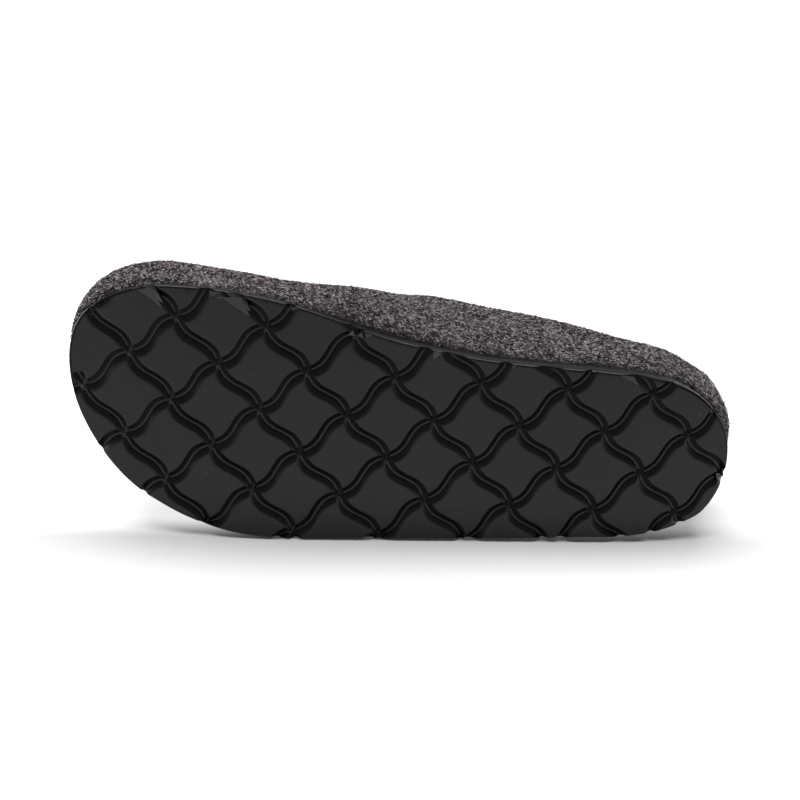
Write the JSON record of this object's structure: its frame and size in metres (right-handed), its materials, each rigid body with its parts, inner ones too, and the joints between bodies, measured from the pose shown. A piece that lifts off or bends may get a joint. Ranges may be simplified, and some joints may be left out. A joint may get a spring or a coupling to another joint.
{
  "type": "felt clog",
  "caption": "Wool felt clog with a low closed back for the right foot, lying on its outer side, with a black rubber sole cut into wavy diamond tiles, a toe spring and a rounded toe.",
  "frame": {"origin": "centre of the bounding box's underside, on the floor the clog lies on", "axes": "toe towards -X and heel towards +X, tread towards -Y, collar towards +Y, inner side of the foot up at +Z"},
  "size_m": [0.2726, 0.088, 0.106],
  "materials": {
    "rubber": "satin black",
    "felt": "heathered charcoal wool felt",
    "footbed": "matt felt"
  },
  "bodies": {
    "root": {"outsole": "rubber", "upper": "felt", "insole": "footbed"}
  },
  "joints": []
}
